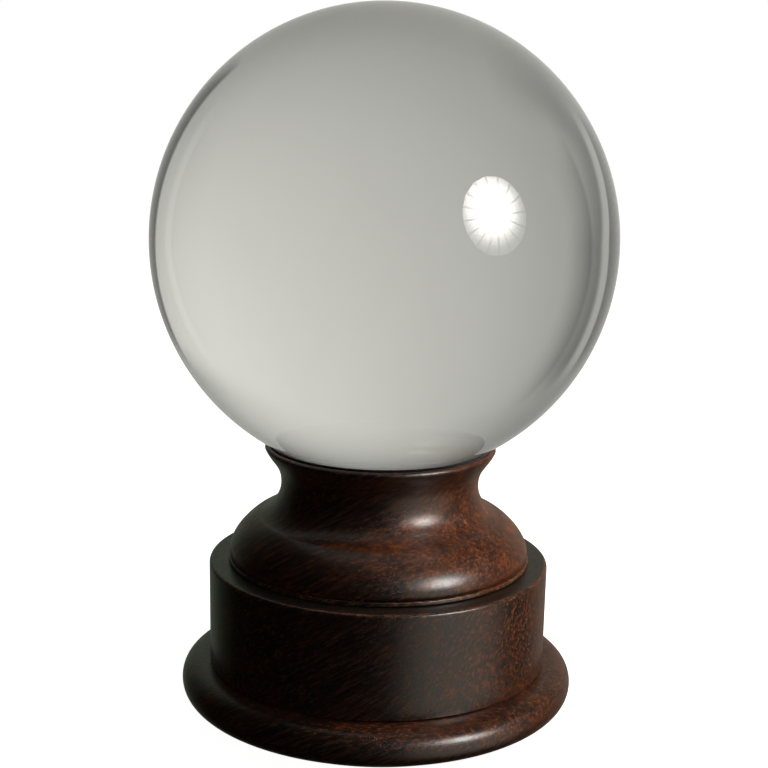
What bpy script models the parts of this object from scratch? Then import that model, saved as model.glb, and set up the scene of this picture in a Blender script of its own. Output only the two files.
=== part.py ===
"""Crystal ball on a turned wooden stand.

Metres, +Z up. The origin is on the stand's axis, on the surface that the base felt rests on.
The stand is three turned sections: a plinth, a drum and a cup that holds the ball in a felt-lined
dish. A central bolt and two dowels hold the cup to the drum, and four wood screws hold the plinth.
"""

import math

import bpy
from mathutils import Matrix, Vector, geometry

MM = 0.001

# Driving dimensions, in millimetres
BALL_RADIUS = 75.0
GAP = 0.3                      # space left between pieces that touch
LINING_THICKNESS = 0.8
LINING_INNER_RADIUS = 20.0
LINING_OUTER_RADIUS = 35.7

FELT_THICKNESS = 1.5
FELT_RADIUS = 58.0
FELT_EDGE = 0.3
PLINTH_HEIGHT = 12.8
PLINTH_RADIUS = 66.5
PLINTH_NOSE = 8.0              # how far the rounded edge reaches in from the widest line
PLINTH_FLAT_SWEEP = 5.0        # handles of the rounded edge, along the flat and at the widest line
PLINTH_NOSE_SWEEP = 3.8
DRUM_HEIGHT = 34.8
DRUM_RADIUS = 57.0
DRUM_EDGE = 1.2                # radius of the drum's upper edge

CUP_FOOT_RADIUS = 50.5
CUP_FOOT_HEIGHT = 1.3
CUP_BULGE_RADIUS = 50.2
CUP_BULGE_RISE = 3.0           # widest line of the bell, above the foot
CUP_SHOULDER_RADIUS = 40.6     # where the outline turns from hollow to full
CUP_SHOULDER_RISE = 15.2
CUP_NECK_RADIUS = 33.0
CUP_NECK_RISE = 26.1
LIP_SWEEP = (1.8, 4.2)         # Bezier handles of the outline, from the lip down to the foot
NECK_SWEEP_UP = 6.2
NECK_SWEEP_DOWN = 6.9
SHOULDER_SWEEP = (2.0, 0.5)
BULGE_SWEEP_UP = 5.4
BULGE_SWEEP_DOWN = 1.0
CUP_QUIRK = 1.2                # depth of the small step between bell and foot
FOOT_EDGE = 0.4
SEAT_RIM_RADIUS = 36.2         # edge of the dish
LIP_RADIUS = 1.1
SEAT_DEPTH_BELOW_BALL = 105.3  # ball's centre above the cup's foot

SPIGOT_RADIUS = 22.0
SPIGOT_LENGTH = 10.0
SPIGOT_CHAMFER = 0.5
ACCESS_HOLE_RADIUS = 12.5      # through the plinth, to reach the bolt's head
COUNTERBORE_RADIUS = 11.0
COUNTERBORE_DEPTH = 8.0

BOLT_RADIUS = 3.0              # M6
BOLT_LENGTH = 30.0
BOLT_HEAD_FLATS = 10.0
BOLT_HEAD_HEIGHT = 4.0
BOLT_CHAMFER = 0.6
WASHER_RADIUS = 9.0
WASHER_THICKNESS = 1.6
INSERT_RADIUS = 4.7
INSERT_LENGTH = 13.0
INSERT_RIDGES = 3
INSERT_RIDGE_DEPTH = 0.7
INSERT_CLEARANCE = 2.0         # empty depth of the hole past the insert

DOWEL_RADIUS = 3.0
DOWEL_LENGTH = 16.0
DOWEL_CHAMFER = 0.7
DOWEL_CIRCLE = 36.0
DOWEL_COUNT = 2

SCREW_CIRCLE = 42.0
SCREW_COUNT = 4
SCREW_LENGTH = 28.0
SCREW_SHANK_RADIUS = 2.0
SCREW_HEAD_RADIUS = 4.0
SCREW_HEAD_RIM = 0.4           # height of the head's straight edge
SCREW_POINT_RADIUS = 0.35
SCREW_SLOT = 1.0
SCREW_TIP = 5.0

TURNED_STEPS = 48              # segments round the large turned pieces
SMALL_STEPS = 16               # segments round the fasteners

# Heights worked out from the above, in millimetres
PLINTH_BASE = FELT_THICKNESS + GAP
PLINTH_TOP = PLINTH_BASE + PLINTH_HEIGHT
DRUM_BASE = PLINTH_TOP + GAP
DRUM_TOP = DRUM_BASE + DRUM_HEIGHT
CUP_BASE = DRUM_TOP + GAP
BALL_CENTRE = CUP_BASE + SEAT_DEPTH_BELOW_BALL
DISH_RADIUS = BALL_RADIUS + LINING_THICKNESS + 2 * GAP
SPIGOT_END = CUP_BASE - SPIGOT_LENGTH
RECESS_FLOOR = SPIGOT_END - GAP
COUNTERBORE_ROOF = DRUM_BASE + COUNTERBORE_DEPTH
WASHER_BASE = COUNTERBORE_ROOF - GAP - WASHER_THICKNESS
BOLT_HEAD_TOP = WASHER_BASE - GAP
INSERT_BASE = SPIGOT_END + 1.0
DOWEL_BASE = CUP_BASE - DOWEL_LENGTH / 2
SCREW_BASE = PLINTH_BASE + GAP

COLLECTION_NAME = "crystal_ball_on_stand"
CUTTER_COLLECTION_NAME = "cutters"


# ---------------------------------------------------------------- scene

def clear_scene():
    for item in list(bpy.data.objects):
        bpy.data.objects.remove(item, do_unlink=True)


def new_collection(name):
    collection = bpy.data.collections.new(name)
    bpy.context.scene.collection.children.link(collection)
    return collection


def move_to(item, collection):
    for owner in list(item.users_collection):
        owner.objects.unlink(item)
    collection.objects.link(item)


def new_material(name, colour, roughness, metallic=0.0, transmission=0.0):
    material = bpy.data.materials.new(name)
    material.use_nodes = True
    shader = material.node_tree.nodes["Principled BSDF"]
    shader.inputs["Base Color"].default_value = (*colour, 1.0)
    shader.inputs["Roughness"].default_value = roughness
    shader.inputs["Metallic"].default_value = metallic
    shader.inputs["Transmission Weight"].default_value = transmission
    return material


# ---------------------------------------------------------------- outlines, as (radius, height) in mm

def arc(centre, radius, start, end, steps):
    """Points on an arc, from one angle to the other, in degrees."""
    points = []
    for i in range(steps + 1):
        angle = math.radians(start + (end - start) * i / steps)
        points.append((centre[0] + radius * math.cos(angle), centre[1] + radius * math.sin(angle)))
    return points


def bezier(start, handle_a, handle_b, end, steps):
    """Points on a Bezier curve, without its first point."""
    ends = [Vector((x, z, 0.0)) for x, z in (start, handle_a, handle_b, end)]
    return [(p.x, p.y) for p in geometry.interpolate_bezier(*ends, steps + 1)[1:]]


def under_ball(sphere_radius, radius):
    """Height of a sphere about the ball's centre, on its lower half, at a distance from the axis."""
    return BALL_CENTRE - math.sqrt(sphere_radius ** 2 - radius ** 2)


def under_ball_arc(sphere_radius, start, end, steps):
    radii = [start + (end - start) * i / steps for i in range(steps + 1)]
    return [(r, under_ball(sphere_radius, r)) for r in radii]


# ---------------------------------------------------------------- solids

def turned(name, outline, steps, collection, closed=False):
    """A body turned from an outline that runs from the top down its outer side."""
    mesh = bpy.data.meshes.new(name)
    points = [(r * MM, 0.0, z * MM) for r, z in outline]
    edges = [(i, i + 1) for i in range(len(points) - 1)]
    if closed:
        edges.append((len(points) - 1, 0))
    mesh.from_pydata(points, edges, [])
    item = bpy.data.objects.new(name, mesh)
    collection.objects.link(item)
    screw = item.modifiers.new("turning", "SCREW")
    screw.axis = "Z"
    screw.angle = math.tau
    screw.steps = steps
    screw.render_steps = steps
    screw.use_merge_vertices = True
    screw.merge_threshold = 0.00001
    screw.use_smooth_shade = True
    return item


def as_cutter(item):
    item.hide_render = True
    item.display_type = "WIRE"
    return item


def cut(item, cutter):
    boolean = item.modifiers.new("cut_" + cutter.name, "BOOLEAN")
    boolean.operation = "DIFFERENCE"
    boolean.solver = "EXACT"
    boolean.object = cutter


def bar_cutter(name, size, centre, collection):
    """A box that cuts a slot, with its size and centre in mm."""
    bpy.ops.mesh.primitive_cube_add(size=1.0)
    item = bpy.context.object
    item.name = name
    item.data.transform(Matrix.Diagonal((size[0] * MM, size[1] * MM, size[2] * MM, 1.0)))
    item.location = [c * MM for c in centre]
    move_to(item, collection)
    return as_cutter(item)


def circle_places(radius, count, turn=0.0):
    """Places evenly round the stand's axis, as (x, y, angle) in metres and radians."""
    places = []
    for i in range(count):
        angle = turn + math.tau * i / count
        places.append((radius * MM * math.cos(angle), radius * MM * math.sin(angle), angle))
    return places


def copy_to(item, name, place, collection):
    """A further object with the same mesh and modifiers, moved to a place round the axis."""
    twin = item.copy()
    twin.name = name
    twin.location = (place[0], place[1], item.location.z)
    twin.rotation_euler.z = place[2]
    collection.objects.link(twin)
    return twin


# ---------------------------------------------------------------- the ball and its lining

def make_ball(parts):
    bpy.ops.mesh.primitive_uv_sphere_add(
        segments=TURNED_STEPS, ring_count=TURNED_STEPS // 2, radius=BALL_RADIUS * MM
    )
    ball = bpy.context.object
    ball.name = "crystal_ball"
    ball.location.z = BALL_CENTRE * MM
    ball.data.shade_smooth()
    move_to(ball, parts)
    ball.data.materials.append(
        new_material("clear_crystal", (0.95, 0.96, 0.95), 0.0, transmission=1.0)
    )


def make_lining(parts):
    inner = BALL_RADIUS + GAP
    outer = inner + LINING_THICKNESS
    steps = 5
    upper = under_ball_arc(inner, LINING_INNER_RADIUS, LINING_OUTER_RADIUS, steps)
    lower = under_ball_arc(outer, LINING_OUTER_RADIUS, LINING_INNER_RADIUS, steps)
    lining = turned("seat_lining", upper + lower, TURNED_STEPS, parts, closed=True)
    lining.data.materials.append(new_material("black_felt", (0.010, 0.011, 0.014), 0.95))


# ---------------------------------------------------------------- the three turned sections

def cup_outline():
    """Dish, lip, hollow neck, bell, foot and spigot, from the dish's middle to the insert's hole."""
    lip_centre = (SEAT_RIM_RADIUS + LIP_RADIUS, under_ball(DISH_RADIUS, SEAT_RIM_RADIUS))
    lip_edge = (SEAT_RIM_RADIUS + 2 * LIP_RADIUS, lip_centre[1])
    neck = (CUP_NECK_RADIUS, CUP_BASE + CUP_NECK_RISE)
    shoulder = (CUP_SHOULDER_RADIUS, CUP_BASE + CUP_SHOULDER_RISE)
    bulge = (CUP_BULGE_RADIUS, CUP_BASE + CUP_BULGE_RISE)
    foot_top = CUP_BASE + CUP_FOOT_HEIGHT
    quirk = (CUP_BULGE_RADIUS - CUP_QUIRK, foot_top)
    lip_handle = (lip_edge[0] - LIP_SWEEP[0], lip_edge[1] - LIP_SWEEP[1])
    shoulder_in = (shoulder[0] - SHOULDER_SWEEP[0], shoulder[1] + SHOULDER_SWEEP[1])
    shoulder_out = (shoulder[0] + SHOULDER_SWEEP[0], shoulder[1] - SHOULDER_SWEEP[1])
    quirk_handle = (quirk[0] + 0.8 * CUP_QUIRK, foot_top + FOOT_EDGE)
    hole_radius = INSERT_RADIUS + GAP
    hole_roof = INSERT_BASE + INSERT_LENGTH + INSERT_CLEARANCE

    points = under_ball_arc(DISH_RADIUS, 0.0, SEAT_RIM_RADIUS, 7)
    points += arc(lip_centre, LIP_RADIUS, 180.0, 0.0, 6)[1:]
    points += bezier(lip_edge, lip_handle, (neck[0], neck[1] + NECK_SWEEP_UP), neck, 7)
    points += bezier(neck, (neck[0], neck[1] - NECK_SWEEP_DOWN), shoulder_in, shoulder, 6)
    points += bezier(shoulder, shoulder_out, (bulge[0], bulge[1] + BULGE_SWEEP_UP), bulge, 7)
    points += bezier(bulge, (bulge[0], bulge[1] - BULGE_SWEEP_DOWN), quirk_handle, quirk, 3)
    points += [
        (CUP_FOOT_RADIUS - FOOT_EDGE, foot_top),
        (CUP_FOOT_RADIUS, foot_top - FOOT_EDGE),
        (CUP_FOOT_RADIUS, CUP_BASE),
        (SPIGOT_RADIUS, CUP_BASE),
        (SPIGOT_RADIUS, SPIGOT_END + SPIGOT_CHAMFER),
        (SPIGOT_RADIUS - SPIGOT_CHAMFER, SPIGOT_END),
        (hole_radius, SPIGOT_END),
        (hole_radius, hole_roof),
        (0.0, hole_roof),
    ]
    return points


def make_cup(parts, dowel_cutters):
    cup = turned("turned_cup", cup_outline(), TURNED_STEPS, parts)
    cup.data.materials.append(new_material("cup_wood", (0.100, 0.034, 0.018), 0.34))
    for cutter in dowel_cutters:
        cut(cup, cutter)


def make_drum(parts, hole_cutters):
    edge_centre = (DRUM_RADIUS - DRUM_EDGE, DRUM_TOP - DRUM_EDGE)
    bolt_hole = BOLT_RADIUS + GAP
    outline = arc(edge_centre, DRUM_EDGE, 90.0, 0.0, 3)
    outline += [
        (DRUM_RADIUS, DRUM_BASE),
        (COUNTERBORE_RADIUS, DRUM_BASE),
        (COUNTERBORE_RADIUS, COUNTERBORE_ROOF),
        (bolt_hole, COUNTERBORE_ROOF),
        (bolt_hole, RECESS_FLOOR),
        (SPIGOT_RADIUS + GAP, RECESS_FLOOR),
        (SPIGOT_RADIUS + GAP, DRUM_TOP),
    ]
    drum = turned("drum", outline, TURNED_STEPS, parts, closed=True)
    drum.data.materials.append(new_material("drum_wood", (0.085, 0.031, 0.018), 0.36))
    for cutter in hole_cutters:
        cut(drum, cutter)


def make_plinth(parts, hole_cutters):
    middle = PLINTH_BASE + PLINTH_HEIGHT / 2
    nose_root = PLINTH_RADIUS - PLINTH_NOSE
    widest = (PLINTH_RADIUS, middle)
    flat_handle = nose_root + PLINTH_FLAT_SWEEP
    upper = (PLINTH_RADIUS, middle + PLINTH_NOSE_SWEEP)
    lower = (PLINTH_RADIUS, middle - PLINTH_NOSE_SWEEP)
    outline = [(nose_root, PLINTH_TOP)]
    outline += bezier(outline[0], (flat_handle, PLINTH_TOP), upper, widest, 6)
    outline += bezier(widest, lower, (flat_handle, PLINTH_BASE), (nose_root, PLINTH_BASE), 6)
    outline += [(ACCESS_HOLE_RADIUS, PLINTH_BASE), (ACCESS_HOLE_RADIUS, PLINTH_TOP)]
    plinth = turned("plinth", outline, TURNED_STEPS, parts, closed=True)
    plinth.data.materials.append(new_material("plinth_wood", (0.075, 0.028, 0.017), 0.36))
    for cutter in hole_cutters:
        cut(plinth, cutter)


def make_base_felt(parts):
    outline = [
        (0.0, FELT_THICKNESS),
        (FELT_RADIUS - FELT_EDGE, FELT_THICKNESS),
        (FELT_RADIUS, FELT_THICKNESS - FELT_EDGE),
        (FELT_RADIUS, 0.0),
        (0.0, 0.0),
    ]
    felt = turned("base_felt", outline, TURNED_STEPS, parts)
    felt.data.materials.append(new_material("base_baize", (0.012, 0.020, 0.014), 0.95))


# ---------------------------------------------------------------- bolt, washer and insert

def make_centre_bolt(parts, steel):
    bpy.ops.mesh.primitive_cylinder_add(
        vertices=6,
        radius=BOLT_HEAD_FLATS * MM / math.sqrt(3.0),
        depth=BOLT_HEAD_HEIGHT * MM,
        location=(0.0, 0.0, (BOLT_HEAD_TOP - BOLT_HEAD_HEIGHT / 2) * MM),
    )
    bolt = bpy.context.object
    bolt.name = "centre_bolt"
    move_to(bolt, parts)
    tip = BOLT_HEAD_TOP + BOLT_LENGTH
    root = BOLT_HEAD_TOP - BOLT_HEAD_HEIGHT / 2
    outline = [
        (0.0, tip),
        (BOLT_RADIUS - BOLT_CHAMFER, tip),
        (BOLT_RADIUS, tip - BOLT_CHAMFER),
        (BOLT_RADIUS, root),
        (0.0, root),
    ]
    shank = turned("bolt_shank", outline, SMALL_STEPS, bpy.data.collections[CUTTER_COLLECTION_NAME])
    as_cutter(shank)
    union = bolt.modifiers.new("add_shank", "BOOLEAN")
    union.operation = "UNION"
    union.solver = "EXACT"
    union.object = shank
    bolt.data.materials.append(steel)


def make_washer(parts, steel):
    top = WASHER_BASE + WASHER_THICKNESS
    bore = BOLT_RADIUS + GAP
    outline = [(WASHER_RADIUS, top), (WASHER_RADIUS, WASHER_BASE), (bore, WASHER_BASE), (bore, top)]
    washer = turned("bolt_washer", outline, 2 * SMALL_STEPS, parts, closed=True)
    washer.data.materials.append(steel)


def make_insert(parts):
    top = INSERT_BASE + INSERT_LENGTH
    bore = BOLT_RADIUS + GAP
    valley = INSERT_RADIUS - INSERT_RIDGE_DEPTH
    pitch = INSERT_LENGTH / (INSERT_RIDGES + 1)
    outline = [(valley, top)]
    for i in range(INSERT_RIDGES):
        crest = top - pitch * (i + 1)
        outline.append((valley, crest + INSERT_RIDGE_DEPTH))
        outline.append((INSERT_RADIUS, crest))
        outline.append((valley, crest - INSERT_RIDGE_DEPTH))
    outline += [(valley, INSERT_BASE), (bore, INSERT_BASE), (bore, top)]
    insert = turned("threaded_insert", outline, SMALL_STEPS, parts, closed=True)
    insert.data.materials.append(new_material("brass", (0.70, 0.50, 0.20), 0.35, metallic=1.0))


# ---------------------------------------------------------------- dowels and wood screws

def dowel_outline(extra):
    """A dowel's outline about its own base, made larger all over by a clearance."""
    radius = DOWEL_RADIUS + extra
    low = -extra
    high = DOWEL_LENGTH + extra
    return [
        (0.0, high),
        (radius - DOWEL_CHAMFER, high),
        (radius, high - DOWEL_CHAMFER),
        (radius, low + DOWEL_CHAMFER),
        (radius - DOWEL_CHAMFER, low),
        (0.0, low),
    ]


def make_dowels(parts, cutters):
    """The dowels, and the cutters of the holes that they stand in."""
    wood = new_material("beech", (0.55, 0.36, 0.19), 0.6)
    dowel = turned("locating_dowel_1", dowel_outline(0.0), SMALL_STEPS, parts)
    dowel.location.z = DOWEL_BASE * MM
    dowel.data.materials.append(wood)
    hole = as_cutter(turned("dowel_hole_1", dowel_outline(GAP), SMALL_STEPS, cutters))
    hole.location.z = DOWEL_BASE * MM
    places = circle_places(DOWEL_CIRCLE, DOWEL_COUNT)
    dowel.location.x, dowel.location.y = places[0][:2]
    hole.location.x, hole.location.y = places[0][:2]
    holes = [hole]
    for i, place in enumerate(places[1:], start=2):
        copy_to(dowel, f"locating_dowel_{i}", place, parts)
        holes.append(copy_to(hole, f"dowel_hole_{i}", place, cutters))
    return holes


def screw_outline(extra, head_drop):
    """A countersunk screw's outline, head down, made larger all over by a clearance.

    Its base is the head's face, lowered by head_drop so that a cutter breaks through.
    """
    shank = SCREW_SHANK_RADIUS + extra
    head = SCREW_HEAD_RADIUS + extra
    cone = SCREW_HEAD_RADIUS - SCREW_SHANK_RADIUS
    return [
        (0.0, SCREW_LENGTH + extra),
        (SCREW_POINT_RADIUS + extra, SCREW_LENGTH + extra),
        (shank, SCREW_LENGTH - SCREW_TIP),
        (shank, cone + SCREW_HEAD_RIM + extra),
        (head, SCREW_HEAD_RIM + extra),
        (head, -head_drop),
        (0.0, -head_drop),
    ]


def make_screws(parts, cutters, steel):
    """The wood screws, and the cutters of their countersunk holes."""
    places = circle_places(SCREW_CIRCLE, SCREW_COUNT, math.pi / 4)
    screw = turned("plinth_screw_1", screw_outline(0.0, 0.0), SMALL_STEPS, parts)
    screw.data.materials.append(steel)
    hole_outline = screw_outline(GAP, SCREW_BASE - PLINTH_BASE + 1.0)
    hole = as_cutter(turned("screw_hole_1", hole_outline, SMALL_STEPS, cutters))
    slot_size = (2.5 * SCREW_HEAD_RADIUS, SCREW_SLOT, 2 * SCREW_SLOT)
    slot = bar_cutter("screw_slot_1", slot_size, (0.0, 0.0, SCREW_BASE), cutters)
    for item in (screw, hole):
        item.location = (places[0][0], places[0][1], SCREW_BASE * MM)
        item.rotation_euler.z = places[0][2]
    slot.location = screw.location
    slot.rotation_euler.z = places[0][2]
    holes = [hole]
    for i, place in enumerate(places[1:], start=2):
        twin = copy_to(screw, f"plinth_screw_{i}", place, parts)
        cut(twin, copy_to(slot, f"screw_slot_{i}", place, cutters))
        holes.append(copy_to(hole, f"screw_hole_{i}", place, cutters))
    cut(screw, slot)
    return holes


def main():
    clear_scene()
    parts = new_collection(COLLECTION_NAME)
    cutters = new_collection(CUTTER_COLLECTION_NAME)
    steel = new_material("zinc_steel", (0.60, 0.60, 0.58), 0.35, metallic=1.0)
    make_ball(parts)
    make_lining(parts)
    dowel_holes = make_dowels(parts, cutters)
    screw_holes = make_screws(parts, cutters, steel)
    make_cup(parts, dowel_holes)
    make_drum(parts, dowel_holes + screw_holes)
    make_plinth(parts, screw_holes)
    make_base_felt(parts)
    make_centre_bolt(parts, steel)
    make_washer(parts, steel)
    make_insert(parts)


main()
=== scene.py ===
import math

import bmesh
import bpy
from mathutils import Matrix, Vector, geometry


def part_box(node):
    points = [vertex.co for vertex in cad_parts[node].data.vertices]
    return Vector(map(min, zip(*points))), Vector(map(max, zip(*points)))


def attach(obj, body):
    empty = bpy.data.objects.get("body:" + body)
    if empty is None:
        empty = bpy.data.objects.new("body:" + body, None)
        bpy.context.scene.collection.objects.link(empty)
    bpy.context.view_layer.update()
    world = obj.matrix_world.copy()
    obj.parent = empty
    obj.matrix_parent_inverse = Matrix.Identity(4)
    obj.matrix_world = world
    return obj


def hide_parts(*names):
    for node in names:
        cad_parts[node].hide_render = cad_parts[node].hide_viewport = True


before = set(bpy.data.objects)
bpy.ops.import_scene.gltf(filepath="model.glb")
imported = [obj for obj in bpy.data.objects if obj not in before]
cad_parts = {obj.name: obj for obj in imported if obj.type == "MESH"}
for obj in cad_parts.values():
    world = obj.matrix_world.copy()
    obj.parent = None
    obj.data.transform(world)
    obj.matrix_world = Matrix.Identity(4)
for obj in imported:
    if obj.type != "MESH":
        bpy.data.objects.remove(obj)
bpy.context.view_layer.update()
mm = 0.001
weldDistance = 0.002 * mm    # closes the seam and the ends of turned pieces


# node trees, shared by the materials and the geometry

def addNode(tree, kind, sockets=None, **settings):
    node = tree.nodes.new(kind)
    for name, value in settings.items():
        setattr(node, name, value)
    for key, value in (sockets or {}).items():
        if isinstance(value, bpy.types.NodeSocket):
            tree.links.new(value, node.inputs[key])
        else:
            node.inputs[key].default_value = value
    return node


def calc(tree, operation, *values, clamp=False):
    sockets = dict(enumerate(values))
    return addNode(tree, "ShaderNodeMath", sockets, operation=operation, use_clamp=clamp).outputs[0]


def rangeOf(tree, value, low, high, newLow=0.0, newHigh=1.0, smooth=False):
    kind = "SMOOTHSTEP" if smooth else "LINEAR"
    sockets = {0: value, 1: low, 2: high, 3: newLow, 4: newHigh}
    return addNode(tree, "ShaderNodeMapRange", sockets, interpolation_type=kind).outputs[0]


def ramp(tree, value, stops):
    node = addNode(tree, "ShaderNodeValToRGB", {0: value})
    elements = node.color_ramp.elements
    while len(elements) < len(stops):
        elements.new(0.5)
    for element, (place, colour) in zip(elements, stops):
        element.position = place
        element.color = (*colour, 1.0)
    return node.outputs[0]


def mixColour(tree, share, first, second):
    node = addNode(tree, "ShaderNodeMix", {0: share}, data_type="RGBA")
    for key, value in ((6, first), (7, second)):
        if isinstance(value, bpy.types.NodeSocket):
            tree.links.new(value, node.inputs[key])
        else:
            node.inputs[key].default_value = (*value, 1.0)
    return node.outputs[2]


def mixNumber(tree, share, first, second):
    return addNode(tree, "ShaderNodeMix", {0: share, 2: first, 3: second}).outputs[0]


def noise(tree, coords, scale, detail=3.0, roughness=0.55, distortion=0.0):
    sockets = {"Vector": coords, "Scale": scale, "Detail": detail, "Roughness": roughness}
    sockets["Distortion"] = distortion
    return addNode(tree, "ShaderNodeTexNoise", sockets).outputs[0]


def stretched(tree, coords, factors):
    return addNode(tree, "ShaderNodeVectorMath", {0: coords, 1: factors}, operation="MULTIPLY").outputs[0]


def grained(tree, coords, length, width):
    # squeezes the coordinates so that a pattern runs long in X and narrow across it
    return stretched(tree, coords, (1 / length, 1 / width, 1 / width))


def bumped(tree, height, distance, strength=1.0):
    sockets = {"Height": height, "Distance": distance, "Strength": strength}
    return addNode(tree, "ShaderNodeBump", sockets).outputs[0]


def newFinish(name, fixed=None):
    finish = bpy.data.materials.new(name)
    finish.use_nodes = True
    tree = finish.node_tree
    shader = tree.nodes["Principled BSDF"]
    for key, value in (fixed or {}).items():
        shader.inputs[key].default_value = value
    return finish, tree, shader


def newItem(name, data):
    item = bpy.data.objects.new(name, data)
    bpy.context.scene.collection.objects.link(item)
    return item


def objectCoords(tree, turn=(0.0, 0.0, 0.0), shift=(0.0, 0.0, 0.0)):
    # the piece's own coordinates, in millimetres
    coords = addNode(tree, "ShaderNodeTexCoord").outputs["Object"]
    sockets = {"Vector": coords, "Location": shift, "Rotation": turn, "Scale": (1 / mm,) * 3}
    return addNode(tree, "ShaderNodeMapping", sockets).outputs[0]


# finishes

woodLook = {
    "dark": (0.010, 0.0060, 0.0042),
    "stain": (0.042, 0.0130, 0.0062),
    "red": (0.112, 0.0300, 0.0095),
    "glint": (0.33, 0.088, 0.018),
    "wornEdge": (0.36, 0.22, 0.11),
    "paintedShade": (0.006, 0.0055, 0.004),  # painted shade in the corner by the cup's foot, standing in for shadow and a dark reflection
    "grainTilt": 31.0,            # degrees up to the right
    "grainTwist": 7.0,            # degrees about the upright axis
    "drift": (90.0, 30.0, 6.0),   # mm along the grain, mm across it, and how far it wanders
    "figure": (80.0, 7.0),        # length and width in mm, here and for the next three
    "band": (45.0, 1.9),
    "fibre": (13.0, 0.85),
    "pore": (4.0, 0.30),
    "figureShare": 0.40,
    "bandShare": 0.60,
    "toneRange": (0.33, 0.67),
    "toneStops": (0.0, 0.36, 0.76, 1.0),
    "lightRange": (0.52, 0.70),
    "lightShare": 0.62,
    "shadeRange": (0.48, 0.30),
    "shadeShare": 0.75,
    "poreRange": (0.60, 0.68),
    "poreShare": 0.65,
    "fleck": (2.4, 1.1),          # length and width in mm of the rubbed flecks
    "fleckRange": (0.52, 0.66),
    "roughness": (0.28, 0.42),
    "poreRoughness": 0.2,
    "fibreHeight": 0.35,
    "relief": (0.05, 0.8),        # mm, and how strongly it shows
    "coat": 0.22,
    "coatRoughness": 0.22,
}


def stainedWood(name, shift, extraTilt=0.0, darker=0.0):
    # shift, in mm, takes each block from another place in the timber
    look = woodLook
    finish, tree, shader = newFinish(name, {
        "IOR": 1.5, "Coat Weight": look["coat"], "Coat Roughness": look["coatRoughness"],
    })
    turn = (0.0, math.radians(look["grainTilt"] + extraTilt), math.radians(look["grainTwist"]))
    coords = objectCoords(tree, turn, shift)
    driftLength, driftWidth, reach = look["drift"]
    drift = noise(tree, grained(tree, coords, driftLength, driftWidth), 1.0, detail=2.0)
    sideways = addNode(tree, "ShaderNodeCombineXYZ", {1: calc(tree, "MULTIPLY", drift, reach)}).outputs[0]
    bent = addNode(tree, "ShaderNodeVectorMath", {0: coords, 1: sideways}, operation="ADD").outputs[0]

    def alongGrain(label, detail, roughness=0.55):
        return noise(tree, grained(tree, bent, *look[label]), 1.0, detail, roughness)

    figure = alongGrain("figure", 4.0)
    band = alongGrain("band", 3.0, 0.6)
    fibre = alongGrain("fibre", 3.0)
    pore = alongGrain("pore", 1.5)

    tone = calc(tree, "MULTIPLY", figure, look["figureShare"])
    tone = calc(tree, "ADD", tone, calc(tree, "MULTIPLY", band, look["bandShare"]))
    low, high = look["toneRange"]
    colours = (look["dark"], look["stain"], look["red"], look["glint"])
    stops = list(zip(look["toneStops"], colours))
    body = ramp(tree, rangeOf(tree, tone, low + darker, high + darker), stops)
    light = rangeOf(tree, fibre, *look["lightRange"])
    body = mixColour(tree, calc(tree, "MULTIPLY", light, look["lightShare"]), body, look["glint"])
    shade = rangeOf(tree, fibre, *look["shadeRange"])
    body = mixColour(tree, calc(tree, "MULTIPLY", shade, look["shadeShare"]), body, look["dark"])
    openPore = rangeOf(tree, pore, *look["poreRange"])
    body = mixColour(tree, calc(tree, "MULTIPLY", openPore, look["poreShare"]), body, look["dark"])

    # wear above 0 is a rubbed edge, and below 0 it is painted shade in a corner
    wearAndShade = addNode(tree, "ShaderNodeAttribute", attribute_name="wearAndShade").outputs["Fac"]
    fleck = noise(tree, grained(tree, coords, *look["fleck"]), 1.0, detail=4.0, roughness=0.7)
    worn = calc(tree, "MULTIPLY", wearAndShade, rangeOf(tree, fleck, *look["fleckRange"]), clamp=True)
    body = mixColour(tree, worn, body, look["wornEdge"])
    # painted shade: where the mark is below 0 the colour is darkened
    paintedShade = calc(tree, "MULTIPLY", wearAndShade, -1.0, clamp=True)
    body = mixColour(tree, paintedShade, body, look["paintedShade"])
    tree.links.new(body, shader.inputs["Base Color"])

    gloss = calc(tree, "ADD", rangeOf(tree, fibre, 0.3, 0.7, *look["roughness"]),
                 calc(tree, "MULTIPLY", openPore, look["poreRoughness"]))
    tree.links.new(gloss, shader.inputs["Roughness"])
    relief = calc(tree, "SUBTRACT", calc(tree, "MULTIPLY", fibre, look["fibreHeight"]), openPore)
    depth, strength = look["relief"]
    tree.links.new(bumped(tree, relief, depth * mm, strength), shader.inputs["Normal"])
    return finish


glassLook = {
    "clear": (0.985, 0.99, 0.98),
    "smeared": (0.955, 0.96, 0.95),
    "smear": (22.0, 40.0),        # width and height in mm of the wiped marks
    "smearRange": (0.50, 0.75),
    "waviness": 30.0,             # mm from crest to crest of the polish
    "waveHeight": 0.01,
    "index": 1.51,
}


def clearCrystal(name):
    look = glassLook
    finish, tree, shader = newFinish(name, {
        "Transmission Weight": 1.0, "IOR": look["index"], "Roughness": 0.0,
    })
    coords = objectCoords(tree)
    width, height = look["smear"]
    wiped = stretched(tree, coords, (1 / width, 1 / width, 1 / height))
    smear = rangeOf(tree, noise(tree, wiped, 1.0, detail=5.0, distortion=0.6), *look["smearRange"])
    tree.links.new(mixColour(tree, smear, look["clear"], look["smeared"]), shader.inputs["Base Color"])
    figuring = noise(tree, coords, 1 / look["waviness"], detail=1.0)
    tree.links.new(bumped(tree, figuring, look["waveHeight"] * mm, 0.5), shader.inputs["Normal"])
    return finish


feltLook = {
    "mottle": 5.0,                # mm
    "fuzz": 0.25,
    "strand": (0.9, 0.16, 0.3),
    "curl": 2.5,
    "mottleShare": 0.4,
    "strandShare": 0.6,
    "toneRange": (0.35, 0.65),
    "roughness": (0.86, 1.0),
    "nap": 0.12,
    "sheenRoughness": 0.6,
    "specular": 0.15,
}


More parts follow.
